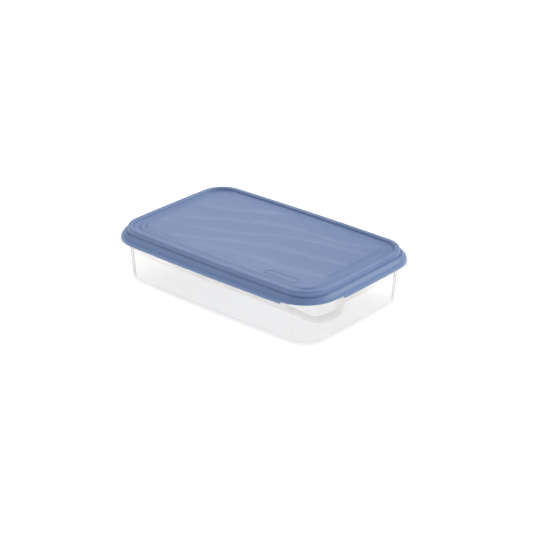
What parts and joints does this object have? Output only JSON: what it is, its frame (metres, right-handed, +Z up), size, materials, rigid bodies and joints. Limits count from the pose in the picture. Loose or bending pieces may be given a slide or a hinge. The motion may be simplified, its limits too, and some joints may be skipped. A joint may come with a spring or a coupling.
{
  "type": "snap lid food container",
  "caption": "Flat rectangular food container: a clear moulded base with a finger scoop at one corner, and an opaque blue lid that snaps over its rim and has a stacking ring round a flat panel.",
  "frame": {"origin": "middle of the base's flat underside, on the surface the box stands on", "axes": "+X along the long sides towards the end with the finger scoop, +Y along the short sides away from the scoop, +Z up"},
  "size_m": [0.2284, 0.1468, 0.0502],
  "materials": {
    "clear_base": "clear natural polypropylene, smooth, slightly milky",
    "blue_lid": "opaque blue polyolefin, satin, fine moulded texture"
  },
  "bodies": {
    "base": {"container_base": "clear_base"},
    "lid": {"lid": "blue_lid"}
  },
  "joints": [
    {"name": "lid_lift", "type": "slide", "parent": "base", "child": "lid", "axis": [0, 0, 1], "range_m": [0, 0.06]}
  ]
}
